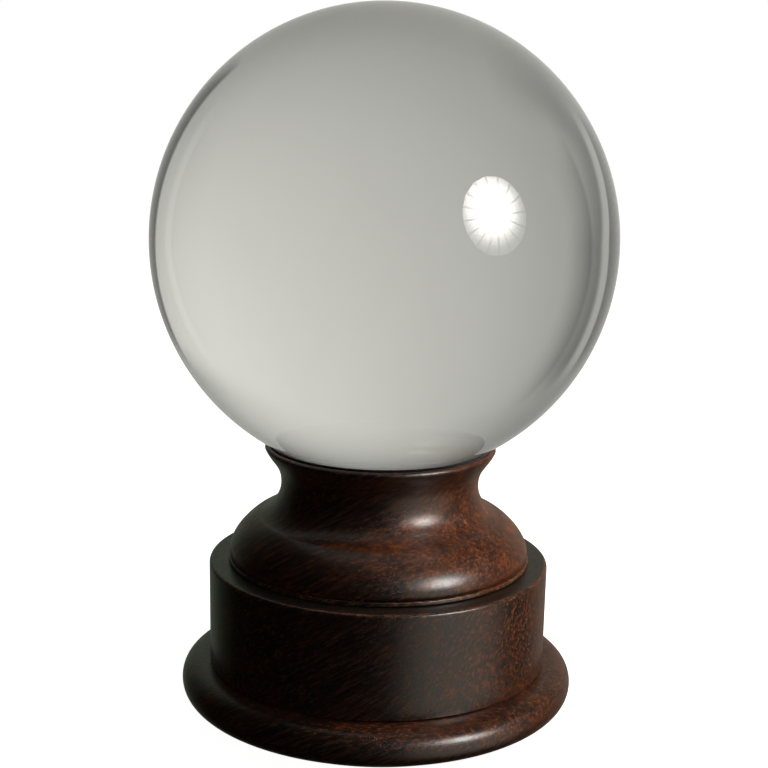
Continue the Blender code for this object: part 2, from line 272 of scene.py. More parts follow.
def matFelt(name, dark, light, sheen):
    look = feltLook
    finish, tree, shader = newFinish(name, {
        "Sheen Weight": sheen, "Sheen Roughness": look["sheenRoughness"],
        "Specular IOR Level": look["specular"],
    })
    coords = objectCoords(tree)
    mottle = noise(tree, coords, 1 / look["mottle"], detail=4.0)
    fuzz = noise(tree, coords, 1 / look["fuzz"], detail=3.0, roughness=0.7)
    matted = stretched(tree, coords, [1 / size for size in look["strand"]])
    strand = noise(tree, matted, 1.0, distortion=look["curl"])
    tone = calc(tree, "MULTIPLY", mottle, look["mottleShare"])
    tone = calc(tree, "ADD", tone, calc(tree, "MULTIPLY", strand, look["strandShare"]))
    body = ramp(tree, rangeOf(tree, tone, *look["toneRange"]), [(0.0, dark), (1.0, light)])
    tree.links.new(body, shader.inputs["Base Color"])
    tree.links.new(rangeOf(tree, fuzz, 0.3, 0.7, *look["roughness"]), shader.inputs["Roughness"])
    nap = calc(tree, "ADD", fuzz, strand)
    tree.links.new(bumped(tree, nap, look["nap"] * mm, 0.8), shader.inputs["Normal"])
    return finish


steelLook = {
    "bright": (0.62, 0.62, 0.60),
    "dull": (0.42, 0.42, 0.42),
    "roughness": (0.28, 0.42),
    "lines": 2.0,                 # tool marks to the millimetre
}
brassLook = {
    "bright": (0.72, 0.50, 0.20),
    "dull": (0.45, 0.29, 0.11),
    "roughness": (0.24, 0.4),
    "lines": 3.0,
}
metalMarks = {
    "toolLength": 6.0,            # mm along a tool mark
    "toolDepth": 0.01,
    "bloom": 3.0,                 # mm
    "bloomRange": (0.42, 0.72),
    "bloomRoughness": 0.1,
}


def turnedMetal(name, look):
    marks = metalMarks
    finish, tree, shader = newFinish(name, {"Metallic": 1.0})
    coords = objectCoords(tree)
    along = 1 / marks["toolLength"]
    tool = noise(tree, stretched(tree, coords, (along, along, look["lines"])), 1.0, detail=2.0)
    bloom = noise(tree, coords, 1 / marks["bloom"], detail=5.0, roughness=0.65)
    body = mixColour(tree, rangeOf(tree, bloom, *marks["bloomRange"]), look["bright"], look["dull"])
    tree.links.new(body, shader.inputs["Base Color"])
    gloss = rangeOf(tree, tool, 0.3, 0.7, *look["roughness"])
    gloss = calc(tree, "ADD", gloss, calc(tree, "MULTIPLY", bloom, marks["bloomRoughness"]))
    tree.links.new(gloss, shader.inputs["Roughness"])
    tree.links.new(bumped(tree, tool, marks["toolDepth"] * mm, 0.5), shader.inputs["Normal"])
    return finish


beechLook = {
    "late": (0.38, 0.22, 0.11),
    "early": (0.62, 0.42, 0.23),
    "ray": (0.30, 0.15, 0.07),
    "grainSize": (0.5, 0.5, 9.0),     # mm
    "raySize": (0.35, 1.4, 2.2),
    "rayRange": (0.62, 0.70),
    "roughness": (0.55, 0.75),
    "relief": 0.04,
}


def bareBeech(name):
    look = beechLook
    finish, tree, shader = newFinish(name, {"Specular IOR Level": 0.35})
    coords = objectCoords(tree)
    grain = noise(tree, stretched(tree, coords, [1 / size for size in look["grainSize"]]), 1.0, detail=3.0)
    ray = noise(tree, stretched(tree, coords, [1 / size for size in look["raySize"]]), 1.0, detail=1.0)
    body = ramp(tree, rangeOf(tree, grain, 0.3, 0.7), [(0.0, look["late"]), (1.0, look["early"])])
    body = mixColour(tree, rangeOf(tree, ray, *look["rayRange"]), body, look["ray"])
    tree.links.new(body, shader.inputs["Base Color"])
    tree.links.new(rangeOf(tree, grain, 0.3, 0.7, *look["roughness"]), shader.inputs["Roughness"])
    tree.links.new(bumped(tree, grain, look["relief"] * mm, 0.6), shader.inputs["Normal"])
    return finish


# outlines, as lists of (radius, height) in millimetres that run from the top down the outer side

def arcPoints(centre, radius, start, end, steps):
    points = []
    for i in range(steps + 1):
        angle = math.radians(start + (end - start) * i / steps)
        points.append((centre[0] + radius * math.cos(angle), centre[1] + radius * math.sin(angle)))
    return points


def curvePoints(start, handleA, handleB, end, steps):
    corners = [Vector((x, z, 0.0)) for x, z in (start, handleA, handleB, end)]
    return [(p.x, p.y) for p in geometry.interpolate_bezier(*corners, steps + 1)[1:]]


cornerSteps = 5


def rounded(corners, radii, steps=cornerSteps):
    # corners as (radius, height), each turned off with its own small radius
    points = []
    for i, (corner, radius) in enumerate(zip(corners, radii)):
        if radius == 0 or i == 0 or i == len(corners) - 1:
            points.append(corner)
            continue
        here = Vector(corner)
        back = (Vector(corners[i - 1]) - here).normalized()
        ahead = (Vector(corners[i + 1]) - here).normalized()
        half = math.acos(max(-1.0, min(1.0, back.dot(ahead)))) / 2
        reach = radius / math.tan(half)
        first = here + back * reach
        last = here + ahead * reach
        for k in range(steps + 1):
            t = k / steps
            p = first * (1 - t) ** 2 + here * 2 * t * (1 - t) + last * t ** 2
            points.append((p.x, p.y))
    return points


longestRun = 6.0    # mm, on the wooden pieces


def densified(outline, longest):
    points = [outline[0]]
    for a, b in zip(outline, outline[1:]):
        count = max(1, math.ceil(math.dist(a, b) / longest))
        for k in range(1, count + 1):
            t = k / count
            points.append((a[0] + (b[0] - a[0]) * t, a[1] + (b[1] - a[1]) * t))
    return points


# each geometry tree starts with its named inputs, and ends real, coated and handed out

def newTree(name, geometryIn, geometryOut, inputs):
    tree = bpy.data.node_groups.new(name, "GeometryNodeTree")
    tree.is_modifier = True
    tree.interface.new_socket(geometryIn, in_out="INPUT", socket_type="NodeSocketGeometry")
    for label, kind in inputs:
        tree.interface.new_socket(label, in_out="INPUT", socket_type="NodeSocket" + kind)
    tree.interface.new_socket(geometryOut, in_out="OUTPUT", socket_type="NodeSocketGeometry")
    return tree, addNode(tree, "NodeGroupInput").outputs


def endTree(tree, shape, finish):
    real = addNode(tree, "GeometryNodeRealizeInstances", {0: shape}).outputs[0]
    coated = addNode(tree, "GeometryNodeSetMaterial", {"Geometry": real, "Material": finish}).outputs[0]
    addNode(tree, "NodeGroupOutput", {0: coated})
    return tree


def smoothShaded(tree, shape):
    return addNode(tree, "GeometryNodeSetShadeSmooth", {"Geometry": shape, "Shade Smooth": True}).outputs[0]


# the turning tree: spins an outline about the Z axis, and can thread, flute or flat-side it

def makeTurningTree():
    tree, given = newTree("turning", "Outline", "Piece", [
        ("Segments", "Int"), ("Thread Pitch", "Float"), ("Sides", "Int"), ("Flutes", "Int"),
        ("Finish", "Material")])
    outline, segments = given["Outline"], given["Segments"]
    count = addNode(tree, "GeometryNodeAttributeDomainSize", {0: outline}).outputs["Point Count"]
    columns = calc(tree, "ADD", segments, 1.0)
    grid = addNode(tree, "GeometryNodeMeshGrid", {"Vertices X": columns, "Vertices Y": count}).outputs["Mesh"]
    index = addNode(tree, "GeometryNodeInputIndex").outputs[0]
    row = calc(tree, "MODULO", index, count)
    column = calc(tree, "FLOOR", calc(tree, "DIVIDE", calc(tree, "ADD", index, 0.5), count))
    place = addNode(tree, "GeometryNodeInputPosition").outputs[0]

    def onOutline(value, kind):
        return addNode(tree, "GeometryNodeSampleIndex", {"Geometry": outline, "Value": value, "Index": row},
                       data_type=kind, domain="POINT").outputs[0]

    def named(label):
        mark = addNode(tree, "GeometryNodeInputNamedAttribute", {"Name": label}, data_type="FLOAT")
        return onOutline(mark.outputs[0], "FLOAT")

    split = addNode(tree, "ShaderNodeSeparateXYZ", {0: onOutline(place, "FLOAT_VECTOR")}).outputs
    radius, height = split[0], split[2]
    turnShare = calc(tree, "DIVIDE", column, segments)
    angle = calc(tree, "MULTIPLY", turnShare, math.tau)
    phase = calc(tree, "SUBTRACT", calc(tree, "DIVIDE", height, given["Thread Pitch"]), turnShare)
    valley = calc(tree, "SUBTRACT", 1.0, calc(tree, "MULTIPLY", calc(tree, "PINGPONG", phase, 0.5), 2.0))
    radius = calc(tree, "SUBTRACT", radius, calc(tree, "MULTIPLY", named("thread"), valley))
    groove = calc(tree, "PINGPONG", calc(tree, "MULTIPLY", turnShare, given["Flutes"]), 0.5)
    groove = calc(tree, "SUBTRACT", 1.0, calc(tree, "MULTIPLY", groove, 4.0), clamp=True)
    radius = calc(tree, "SUBTRACT", radius, calc(tree, "MULTIPLY", named("flute"), groove))
    side = calc(tree, "DIVIDE", math.tau, given["Sides"])
    offMiddle = calc(tree, "SUBTRACT", calc(tree, "MODULO", angle, side), calc(tree, "DIVIDE", side, 2.0))
    sided = calc(tree, "DIVIDE", radius, calc(tree, "COSINE", offMiddle))
    share = named("sided")
    radius = calc(tree, "ADD", calc(tree, "MULTIPLY", sided, share),
                  calc(tree, "MULTIPLY", radius, calc(tree, "SUBTRACT", 1.0, share)))
    spun = addNode(tree, "ShaderNodeCombineXYZ", {
        0: calc(tree, "MULTIPLY", radius, calc(tree, "COSINE", angle)),
        1: calc(tree, "MULTIPLY", radius, calc(tree, "SINE", angle)),
        2: height}).outputs[0]
    shaped = addNode(tree, "GeometryNodeSetPosition", {"Geometry": grid, "Position": spun}).outputs[0]
    mark = {"Geometry": shaped, "Name": "wearAndShade", "Value": named("wearAndShade")}
    marked = addNode(tree, "GeometryNodeStoreNamedAttribute", mark, data_type="FLOAT", domain="POINT")
    weld = {"Geometry": marked.outputs[0], "Distance": weldDistance}
    closed = addNode(tree, "GeometryNodeMergeByDistance", weld).outputs[0]
    outward = addNode(tree, "GeometryNodeFlipFaces", {0: closed}).outputs[0]
    return endTree(tree, smoothShaded(tree, outward), given["Finish"])


# the ring tree: sets copies of one piece evenly round the Z axis, each turned to face outwards

def makeRingTree():
    tree, given = newTree("placed round", "Piece", "Pieces", [
        ("Count", "Int"), ("Circle Radius", "Float"), ("First Angle", "Float"), ("Finish", "Material")])
    spots = addNode(tree, "GeometryNodePoints", {"Count": given["Count"]})
    index = addNode(tree, "GeometryNodeInputIndex").outputs[0]
    step = calc(tree, "DIVIDE", math.tau, given["Count"])
    angle = calc(tree, "ADD", given["First Angle"], calc(tree, "MULTIPLY", index, step))
    spot = addNode(tree, "ShaderNodeCombineXYZ", {
        0: calc(tree, "MULTIPLY", given["Circle Radius"], calc(tree, "COSINE", angle)),
        1: calc(tree, "MULTIPLY", given["Circle Radius"], calc(tree, "SINE", angle))}).outputs[0]
    tree.links.new(spot, spots.inputs["Position"])
    turn = addNode(tree, "ShaderNodeCombineXYZ", {2: angle}).outputs[0]
    copies = addNode(tree, "GeometryNodeInstanceOnPoints", {
        "Points": spots.outputs[0], "Instance": given["Piece"], "Rotation": turn}).outputs[0]
    return endTree(tree, copies, given["Finish"])


# the globe tree: a finely cut cube blown out to a sphere, so that it has no poles

def makeGlobeTree():
    tree, given = newTree("globe", "Blank", "Globe", [
        ("Cuts", "Int"), ("Radius", "Float"), ("Centre", "Vector"), ("Finish", "Material")])
    cuts = given["Cuts"]
    cube = addNode(tree, "GeometryNodeMeshCube", {
        "Size": (2.0, 2.0, 2.0), "Vertices X": cuts, "Vertices Y": cuts, "Vertices Z": cuts}).outputs["Mesh"]
    place = addNode(tree, "GeometryNodeInputPosition").outputs[0]
    parts = addNode(tree, "ShaderNodeSeparateXYZ", {0: place}).outputs
    even = [calc(tree, "TANGENT", calc(tree, "MULTIPLY", part, math.pi / 4)) for part in parts]
    spread = addNode(tree, "ShaderNodeCombineXYZ", dict(enumerate(even))).outputs[0]
    unit = addNode(tree, "ShaderNodeVectorMath", {0: spread}, operation="NORMALIZE").outputs[0]
    grown = addNode(tree, "ShaderNodeVectorMath", {0: unit, "Scale": given["Radius"]}, operation="SCALE")
    moved = addNode(tree, "ShaderNodeVectorMath", {0: grown.outputs[0], 1: given["Centre"]}, operation="ADD")
    shaped = {"Geometry": cube, "Position": moved.outputs[0]}
    globe = addNode(tree, "GeometryNodeSetPosition", shaped).outputs[0]
    return endTree(tree, smoothShaded(tree, globe), given["Finish"])


def plainMesh(piece, sharpAngle=None):
    # bakes the modifiers into the piece's mesh and takes them off
    bpy.context.view_layer.update()
    depsgraph = bpy.context.evaluated_depsgraph_get()
    mesh = bpy.data.meshes.new_from_object(piece.evaluated_get(depsgraph), depsgraph=depsgraph)
    piece.modifiers.clear()
    piece.data = mesh
    mesh.name = piece.name
    finish = next(m for m in mesh.materials if m)
    mesh.materials.clear()
    mesh.materials.append(finish)
    mesh.polygons.foreach_set("material_index", [0] * len(mesh.polygons))
    if sharpAngle is not None:
        mesh.set_sharp_from_angle(angle=math.radians(sharpAngle))
    return piece


def runTree(piece, tree, values):
    modifier = piece.modifiers.new(tree.name, "NODES")
    modifier.node_group = tree
    for item in tree.interface.items_tree:
        if item.in_out == "INPUT" and item.name in values:
            modifier[item.identifier] = values[item.name]


def outlineMesh(name, outline, marks=None):
    # marks are extra values for each point: wear (with painted shade below 0) and sided are shares, thread
    # and flute are depths
    mesh = bpy.data.meshes.new(name)
    places = [(r * mm, 0.0, z * mm) for r, z in outline]
    mesh.from_pydata(places, [(i, i + 1) for i in range(len(outline) - 1)], [])
    for label, unit in (("wearAndShade", 1.0), ("sided", 1.0), ("thread", mm), ("flute", mm)):
        values = (marks or {}).get(label) or [0.0] * len(outline)
        mesh.attributes.new(label, "FLOAT", "POINT").data.foreach_set("value", [v * unit for v in values])
    return newItem(name, mesh)


def turned(name, outline, finish, segments=288, marks=None, pitch=1.0, sides=6, flutes=0, sharpAngle=None):
    piece = outlineMesh(name, outline, marks)
    runTree(piece, turningTree, {
        "Segments": segments, "Thread Pitch": pitch * mm, "Sides": sides, "Flutes": flutes, "Finish": finish})
    return plainMesh(piece, sharpAngle)


def settle(piece, body, nodes):
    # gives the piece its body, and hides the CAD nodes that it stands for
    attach(piece, body)
    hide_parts(*nodes)


turningTree = makeTurningTree()
ringTree = makeRingTree()
globeTree = makeGlobeTree()
print("node trees ready")


# places, read from the frame

def lowHigh(node):
    low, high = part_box(node)
    return low / mm, high / mm


ballLow, ballHigh = lowHigh("crystal_ball")
ballRadius = (ballHigh.z - ballLow.z) / 2
ballCentre = (ballHigh.z + ballLow.z) / 2
drumLow, drumHigh = lowHigh("drum")
plinthLow, plinthHigh = lowHigh("plinth")
cupLow, cupHigh = lowHigh("turned_cup")
gap = drumLow.z - plinthHigh.z
cupBase = drumHigh.z + gap


def underBall(sphereRadius, radius):
    return ballCentre - math.sqrt(sphereRadius ** 2 - radius ** 2)


def underBallPoints(sphereRadius, start, end, steps):
    radii = [start + (end - start) * i / steps for i in range(steps + 1)]
    return [(r, underBall(sphereRadius, r)) for r in radii]


# crystal ball

ballCuts = 129    # points along each edge of the cube that is blown out


def makeBall():
    ball = newItem("clear_ball", bpy.data.meshes.new("clear_ball"))
    runTree(ball, globeTree, {
        "Cuts": ballCuts, "Radius": ballRadius * mm, "Centre": (0.0, 0.0, ballCentre * mm),
        "Finish": clearCrystal("clear crystal")})
    plainMesh(ball)
    settle(ball, "ball", ["crystal_ball"])
    print("ball:", len(ball.data.polygons), "faces")


# cup: dish, lip, hollow neck, bell, foot and spigot

cup = {
    "dishRadius": 76.15,
    "seatRim": 36.2,
    "lipRadius": 1.1,
    "neckRadius": 33.0,
    "neckRise": 26.1,
    "shoulderRadius": 40.6,
    "shoulderRise": 15.2,
    "bulgeRadius": 50.2,
    "bulgeRise": 3.0,
    "footHeight": 1.3,
    "quirk": 1.2,
    "lipSweep": (1.8, 4.2),
    "neckSweepUp": 6.2,
    "neckSweepDown": 6.9,
    "shoulderSweep": (2.0, 0.5),
    "bulgeSweepUp": 5.4,
    "bulgeSweepDown": 1.0,
    "quirkReach": 0.8,            # how far under the bell the last curve comes in, as a share of the quirk
    "footEdge": 0.4,
    "footWear": 0.9,
    "spigotRadius": 22.0,
    "spigotEdges": (0.25, 0.3, 0.5, 0.3, 0.2),
    "insertHole": 5.0,
    "insertHoleDepth": 16.0,
    # points on the dish, the lip, the upper and the lower neck, the bell and its underside
    "steps": (30, 18, 26, 24, 26, 14),
}


def makeCup():
    s = cup
    lipCentre = (s["seatRim"] + s["lipRadius"], cupHigh.z - s["lipRadius"])
    lipEdge = (lipCentre[0] + s["lipRadius"], lipCentre[1])
    neck = (s["neckRadius"], cupBase + s["neckRise"])
    shoulder = (s["shoulderRadius"], cupBase + s["shoulderRise"])
    bulge = (s["bulgeRadius"], cupBase + s["bulgeRise"])
    footTop = cupBase + s["footHeight"]
    footRadius = cupHigh.x
    quirk = (s["bulgeRadius"] - s["quirk"], footTop)
    lipHandle = (lipEdge[0] - s["lipSweep"][0], lipEdge[1] - s["lipSweep"][1])
    sweep = s["shoulderSweep"]
    shoulderIn = (shoulder[0] - sweep[0], shoulder[1] + sweep[1])
    shoulderOut = (shoulder[0] + sweep[0], shoulder[1] - sweep[1])
    quirkHandle = (quirk[0] + s["quirkReach"] * s["quirk"], footTop + s["footEdge"])

    onDish, onLip, aboveNeck, belowNeck, onBell, underBell = s["steps"]
    points = underBallPoints(s["dishRadius"], 0.0, s["seatRim"], onDish)
    points += arcPoints(lipCentre, s["lipRadius"], 180.0, 0.0, onLip)
    points += curvePoints(lipEdge, lipHandle, (neck[0], neck[1] + s["neckSweepUp"]), neck, aboveNeck)
    points += curvePoints(neck, (neck[0], neck[1] - s["neckSweepDown"]), shoulderIn, shoulder, belowNeck)
    points += curvePoints(shoulder, shoulderOut, (bulge[0], bulge[1] + s["bulgeSweepUp"]), bulge, onBell)
    points += curvePoints(bulge, (bulge[0], bulge[1] - s["bulgeSweepDown"]), quirkHandle, quirk, underBell)
    footStart = len(points)
    spigotEnd = cupLow.z
    holeRoof = spigotEnd + s["insertHoleDepth"]
    corners = [
        quirk, (footRadius, footTop), (footRadius, cupBase), (s["spigotRadius"], cupBase),
        (s["spigotRadius"], spigotEnd), (s["insertHole"], spigotEnd), (s["insertHole"], holeRoof),
        (0.0, holeRoof),
    ]
    points += rounded(corners, [0.0, s["footEdge"], *s["spigotEdges"], 0.0])[1:]
    wearAndShade = [0.0] * len(points)
    for i in range(footStart, footStart + cornerSteps + 2):
        wearAndShade[i] = s["footWear"]
    wood = stainedWood("cup wood", (13.0, 41.0, 7.0))
    piece = turned("cup_turning", points, wood, marks={"wearAndShade": wearAndShade}, sharpAngle=50)
    settle(piece, "stand", ["turned_cup"])
    print("cup:", len(piece.data.polygons), "faces")


# drum, with the recess for the cup's spigot and the bolt's counterbore

drum = {
    "edge": 1.2,
    "edgeWear": 0.35,
    "edgeSteps": 8,
    "paintedShade": 0.85,
    "paintedShadeReach": 2.0,            # how far in under the cup's foot the painted shade goes
    "footEdge": 0.3,
    "innerEdges": (0.3, 0.2, 0.2, 0.2, 0.2),
    "counterbore": 11.0,
    "counterboreDepth": 8.0,
    "boltHole": 3.3,
    "spigotDepth": 10.0,
    "spigotRoom": 22.3,
    "extraTilt": 3.0,
    "darker": 0.09,
}


def makeDrum():
    s = drum
    top, base, radius = drumHigh.z, drumLow.z, drumHigh.x
    floor = top - s["spigotDepth"]
    roof = base + s["counterboreDepth"]
    corners = [
        (s["spigotRoom"], top), (radius, top), (radius, base), (s["counterbore"], base),
        (s["counterbore"], roof), (s["boltHole"], roof), (s["boltHole"], floor), (s["spigotRoom"], floor),
        (s["spigotRoom"], top),
    ]
    edges = [0.0, s["edge"], s["footEdge"], *s["innerEdges"], 0.0]
    points = densified(rounded(corners, edges, s["edgeSteps"]), longestRun)
    wearAndShade = [0.0] * len(points)
    for i, (r, z) in enumerate(points):
        if r > radius - s["edge"] and z > top - s["edge"]:
            wearAndShade[i] = s["edgeWear"]
        # the drum's top next to the cup's foot gets painted shade
        elif z > top - gap and r > cupHigh.x - s["paintedShadeReach"]:
            wearAndShade[i] = -s["paintedShade"]
    wood = stainedWood("drum wood", (-57.0, 9.0, 23.0), s["extraTilt"], s["darker"])
    piece = turned("drum_turning", points, wood, marks={"wearAndShade": wearAndShade}, sharpAngle=50)
    settle(piece, "stand", ["drum"])
    print("drum:", len(piece.data.polygons), "faces")


# plinth, a flat disc with a rounded nose and the bolt's access hole

plinth = {
    "nose": 8.0,
    "noseSteps": 26,
    "flatSweep": 5.0,
    "noseSweep": 3.8,
    "flatHold": 4.0,              # a point this far in keeps the flat faces flat
    "accessHole": 12.5,
    "extraTilt": -4.0,
    "darker": 0.07,
}


def makePlinth():
    s = plinth
    top, base, radius = plinthHigh.z, plinthLow.z, plinthHigh.x
    middle = (top + base) / 2
    root = radius - s["nose"]
    widest = (radius, middle)
    flatEnd = root + s["flatSweep"]
    steps = s["noseSteps"]
    points = [(s["accessHole"], top), (root - s["flatHold"], top), (root, top)]
    points += curvePoints((root, top), (flatEnd, top), (radius, middle + s["noseSweep"]), widest, steps)
    points += curvePoints(widest, (radius, middle - s["noseSweep"]), (flatEnd, base), (root, base), steps)
    points += [(root - s["flatHold"], base), (s["accessHole"], base), (s["accessHole"], top)]
    wood = stainedWood("plinth wood", (31.0, -77.0, 3.0), s["extraTilt"], s["darker"])
    piece = turned("plinth_turning", densified(points, longestRun), wood, sharpAngle=50)
    settle(piece, "stand", ["plinth"])
    print("plinth:", len(piece.data.polygons), "faces")


# felt ring between the ball and the dish

lining = {
    "inner": 20.0,
    "outer": 36.9,
    "thickness": 0.8,
    "clearance": 0.05,
    "edge": 0.25,                 # how far the faces stop short of the rounded rim
    "steps": 22,
    "dark": (0.004, 0.0045, 0.006),
    "light": (0.022, 0.024, 0.030),
    "sheen": 0.25,
}


def makeLining():
    s = lining
    upper = ballRadius + s["clearance"]
    lower = upper + s["thickness"]
    points = underBallPoints(upper, s["inner"], s["outer"] - s["edge"], s["steps"])
    points.append((s["outer"], (underBall(upper, s["outer"]) + underBall(lower, s["outer"])) / 2))
    points += underBallPoints(lower, s["outer"] - s["edge"], s["inner"], s["steps"])
    points.append(points[0])
    felt = matFelt("black felt", s["dark"], s["light"], s["sheen"])
    piece = turned("seat_felt_ring", points, felt)
    settle(piece, "stand", ["seat_lining"])
    print("felt ring:", len(piece.data.polygons), "faces")


# felt disc under the plinth

baseFelt = {
    "edge": 0.35,
    "longestRun": 3.0,
    "dark": (0.006, 0.010, 0.007),
    "light": (0.022, 0.034, 0.025),
    "sheen": 0.3,
}


def makeBaseFelt():
    s = baseFelt
    low, high = lowHigh("base_felt")
    radius = high.x
    corners = [(0.0, high.z), (radius, high.z), (radius, low.z), (0.0, low.z)]
    points = densified(rounded(corners, [0.0, s["edge"], s["edge"], 0.0]), s["longestRun"])
    baize = matFelt("base baize", s["dark"], s["light"], s["sheen"])
    piece = turned("base_felt_disc", points, baize)
    settle(piece, "stand", ["base_felt"])
    print("base felt:", len(piece.data.polygons), "faces")


# centre bolt, washer and insert

bolt = {
    "flats": 10.0,
    "headHeight": 4.0,
    "headTopEdge": (0.25, 0.05),  # height of the chamfer over the flats, and its width as a share
    "headRimEdges": (0.55, 0.25),  # heights where the flats start to round off, and where they nearly have
    "headRimCut": 0.05,
    "headRimSided": 0.55,
    "headRimShare": 0.07,
    "radius": 3.0,
    "pitch": 1.0,
    "depth": 0.61,
    "plain": 8.0,
    "tip": 0.8,
}
threadSteps = 12      # points for each turn of a thread
runOut = 0.6          # share of the pitch over which a thread fades at its ends


def threadedRun(radius, start, end, depth, pitch, steps=threadSteps):
    # points down a threaded stretch, with the thread running out at both ends
    count = math.ceil((start - end) / pitch * steps)
    points, depths = [], []
    for i in range(count + 1):
        z = start + (end - start) * i / count
        room = min(start - z, z - end)
        points.append((radius, z))
        depths.append(depth * min(1.0, room / (runOut * pitch)))
    return points, depths


def makeBolt(steel):
    s = bolt
    low, high = lowHigh("centre_bolt")
    half = s["flats"] / 2
    headTop = low.z + s["headHeight"]
    thread, depths = threadedRun(s["radius"], high.z - s["tip"], headTop + s["plain"], s["depth"], s["pitch"])
    topDrop, topShare = s["headTopEdge"]
    rimHigh, rimLow = s["headRimEdges"]
    # radius, height, and how far the round is squared up to the six flats
    shoulder = (half * (1 - topShare), headTop, 0.0)
    rim = (half * (1 - s["headRimShare"]), low.z, 0.0)
    head = [shoulder, shoulder, (half, headTop - topDrop, 1.0), (half, low.z + rimHigh, 1.0),
            (half - s["headRimCut"], low.z + rimLow, s["headRimSided"]), rim, (0.0, low.z, 0.0)]
    start = [(0.0, high.z), (s["radius"] - s["tip"], high.z)]
    neck = [(s["radius"], headTop + s["plain"] - 0.01), (s["radius"], headTop)]
    points = start + thread + neck + [(r, z) for r, z, side in head]
    lead = len(start)
    marks = {
        "thread": [0.0] * lead + depths + [0.0] * (len(neck) + len(head)),
        "sided": [0.0] * (lead + len(thread) + len(neck)) + [side for r, z, side in head],
    }
    piece = turned("hex_bolt", points, steel, segments=48, marks=marks, pitch=s["pitch"], sharpAngle=32)
    settle(piece, "stand", ["centre_bolt"])
    print("bolt:", len(piece.data.polygons), "faces")


washerEdges = (0.0, 0.35, 0.2, 0.15, 0.0)    # rounder on the side that was stamped


def makeWasher(steel):
    low, high = lowHigh("bolt_washer")
    bore = bolt["radius"] + gap
    corners = [(bore, high.z), (high.x, high.z), (high.x, low.z), (bore, low.z), (bore, high.z)]
    piece = turned("flat_washer", rounded(corners, washerEdges, 4), steel, segments=96, sharpAngle=35)
    settle(piece, "stand", ["bolt_washer"])
    print("washer:", len(piece.data.polygons), "faces")


insert = {
    "pitch": 2.6,
    "depth": 0.75,
    "steps": 16,
    "chamfer": 0.3,
    "plainEnd": 0.5,
    "boreRoom": 0.28,             # over the bolt's radius
}


def makeInsert():
    s = insert
    low, high = lowHigh("threaded_insert")
    start, end = high.z - s["plainEnd"], low.z + s["plainEnd"]
    outside, depths = threadedRun(high.x, start, end, s["depth"], s["pitch"], s["steps"])
    bore = bolt["radius"] + s["boreRoom"]
    boreRun = threadedRun(bore, start, end, 0.0, bolt["pitch"])[0]
    mouth = bore + s["chamfer"]
    rim = high.x - s["depth"] - s["chamfer"]
    points = [(mouth, high.z), (rim, high.z)] + outside + [(rim, low.z), (mouth, low.z)]
    points += boreRun[::-1] + [(mouth, high.z)]
    marks = {"thread": [0.0, 0.0] + depths + [0.0, 0.0] + [0.0] * len(boreRun) + [0.0]}
    brass = turnedMetal("machined brass", brassLook)
    piece = turned("brass_insert", points, brass, segments=64, marks=marks, pitch=s["pitch"], sharpAngle=30)
    settle(piece, "stand", ["threaded_insert"])
    print("insert:", len(piece.data.polygons), "faces")


# dowels and wood screws, one made and set round the axis

dowel = {"radius": 3.0, "chamfer": 0.7, "flute": 0.3, "flutes": 18, "fluteStart": 1.4}


def placedRound(name, piece, nodes, finish):
    piece.name = name
    circle, first = circleOf(nodes[0])
    runTree(piece, ringTree, {
        "Count": len(nodes), "Circle Radius": circle * mm, "First Angle": first, "Finish": finish})
    return plainMesh(piece, 32)


def circleOf(node):
    # radius and angle of a node's middle about the Z axis
    low, high = lowHigh(node)
    middle = (low + high) / 2
    return math.hypot(middle.x, middle.y), math.atan2(middle.y, middle.x)


def makeDowels():
    s = dowel
    nodes = [name for name in sorted(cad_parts) if name.startswith("locating_dowel")]
    low, high = lowHigh(nodes[0])
    shoulder = s["radius"] - s["chamfer"]
    heights = (high.z - s["chamfer"], high.z - s["fluteStart"], low.z + s["fluteStart"], low.z + s["chamfer"])
    run = [(s["radius"], z) for z in heights]
    points = [(0.0, high.z), (shoulder, high.z)] + run + [(shoulder, low.z), (0.0, low.z)]
    marks = {"flute": [0.0, 0.0, 0.0, s["flute"], s["flute"], 0.0, 0.0, 0.0]}
    beech = bareBeech("bare beech")
    single = turned("dowel_blank", points, beech, segments=72, marks=marks, flutes=s["flutes"])
    piece = placedRound("fluted_dowels", single, nodes, beech)
    settle(piece, "stand", nodes)
    print("dowels:", len(piece.data.polygons), "faces")


screw = {
    "shank": 2.0,
    "head": 4.0,
    "rim": 0.4,
    "point": 0.2,
    "tip": 5.0,
    "pitch": 1.8,
    "depth": 0.6,
    "tipDepth": 0.9,              # of the full depth, where the taper meets the shank
    "threaded": 0.62,             # share of the length
    "slotWidth": 1.0,
    "slotDepth": 1.2,
}


